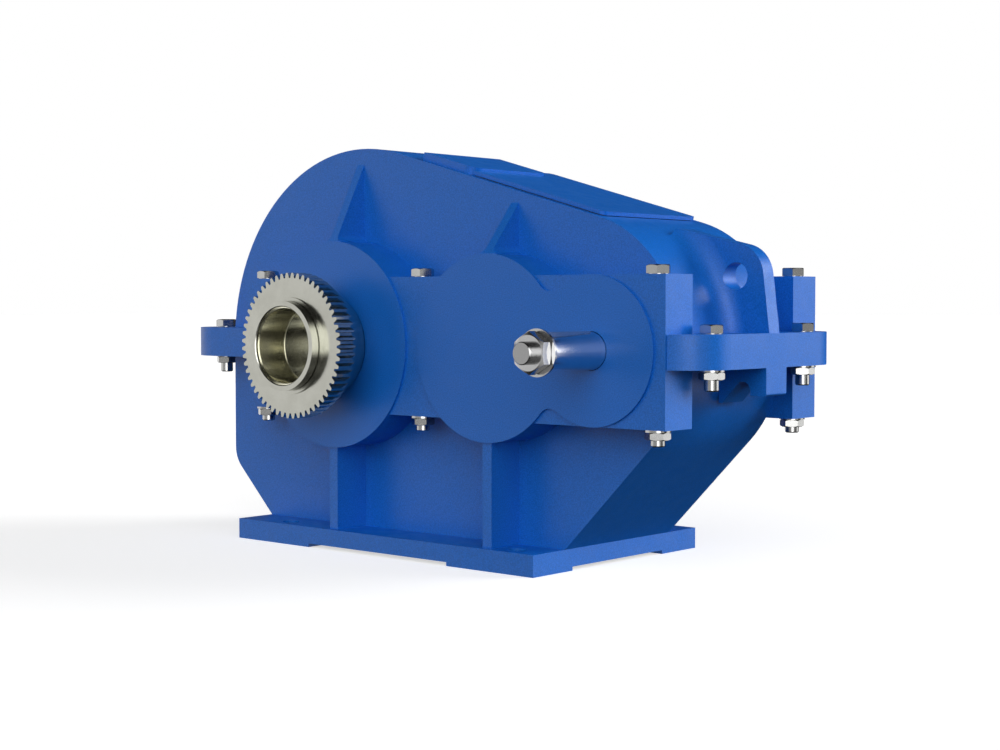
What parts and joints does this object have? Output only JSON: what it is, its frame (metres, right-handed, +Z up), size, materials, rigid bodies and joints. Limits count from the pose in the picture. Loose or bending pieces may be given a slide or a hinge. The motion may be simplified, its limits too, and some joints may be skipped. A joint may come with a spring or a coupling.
{
  "type": "parallel shaft gear reducer",
  "caption": "Parallel shaft gear reducer in a split cast housing with a toothed coupling end, tapered input shaft, lifting lug and foot plate.",
  "frame": {"origin": "middle of the four foot holes, on the surface that the pads stand on", "axes": "+X from the output shaft to the input shaft, -Y out of the free shaft ends, +Z up"},
  "size_m": [0.8258, 0.4185, 0.4895],
  "materials": {
    "blue_paint": "semi-gloss enamel with a fine grain",
    "satin_steel": "machined, satin",
    "bright_steel": "bright zinc plated",
    "polished_steel": "ground and polished",
    "warm_steel": "polished, with a warm tint",
    "bearing_steel": "ground",
    "seal_rubber": "matte",
    "gasket_board": "matte",
    "copper_ring": "plain"
  },
  "bodies": {
    "casing": {"lower_housing": "blue_paint", "upper_housing": "blue_paint", "inspection_cover": "blue_paint", "raised_plate": "blue_paint", "output_cover": "blue_paint", "output_blind_cover": "blue_paint", "twin_cover": "blue_paint", "twin_blind_cover": "blue_paint", "cover_gasket": "gasket_board", "output_seal": "seal_rubber", "input_seal": "seal_rubber", "plug_seals": "copper_ring", "dowel_pins": "satin_steel", "tall_bolts": "bright_steel", "tall_nuts": "bright_steel", "tall_washers": "bright_steel", "flange_bolts": "bright_steel", "flange_nuts": "bright_steel", "flange_washers": "bright_steel", "drain_plug": "bright_steel", "level_plug": "bright_steel", "output_near_outer_ring": "bearing_steel", "output_far_outer_ring": "bearing_steel", "middle_near_outer_ring": "bearing_steel", "middle_far_outer_ring": "bearing_steel", "input_near_outer_ring": "bearing_steel", "input_far_outer_ring": "bearing_steel"},
    "output_train": {"output_shaft": "satin_steel", "mouth_ring": "satin_steel", "barrel_seat": "warm_steel", "low_wheel": "satin_steel", "low_wheel_key": "satin_steel", "output_spacer": "satin_steel", "output_sleeve": "satin_steel", "output_near_inner_ring": "bearing_steel", "output_near_rollers": "bearing_steel", "output_far_inner_ring": "bearing_steel", "output_far_rollers": "bearing_steel"},
    "middle_train": {"pinion_shaft": "satin_steel", "high_wheel": "satin_steel", "high_wheel_key": "satin_steel", "middle_sleeve": "satin_steel", "middle_near_inner_ring": "bearing_steel", "middle_near_rollers": "bearing_steel", "middle_far_inner_ring": "bearing_steel", "middle_far_rollers": "bearing_steel"},
    "input_train": {"input_shaft": "polished_steel", "input_key": "polished_steel", "end_washer": "bright_steel", "end_nut": "bright_steel", "input_near_inner_ring": "bearing_steel", "input_near_rollers": "bearing_steel", "input_far_inner_ring": "bearing_steel", "input_far_rollers": "bearing_steel"}
  },
  "joints": [
    {"name": "output_spin", "type": "hinge", "parent": "casing", "child": "output_train", "pos_m": [-0.096, 0, 0.25], "axis": [0, 1, 0], "continuous": true},
    {"name": "middle_spin", "type": "hinge", "parent": "casing", "child": "middle_train", "pos_m": [0.154, 0, 0.25], "axis": [0, 1, 0], "continuous": true},
    {"name": "input_spin", "type": "hinge", "parent": "casing", "child": "input_train", "pos_m": [0.304, 0, 0.25], "axis": [0, 1, 0], "continuous": true}
  ],
  "couplings": [
    {"joint": "middle_spin", "follows": "output_spin", "ratio": -4.5556},
    {"joint": "input_spin", "follows": "output_spin", "ratio": 18.222}
  ]
}
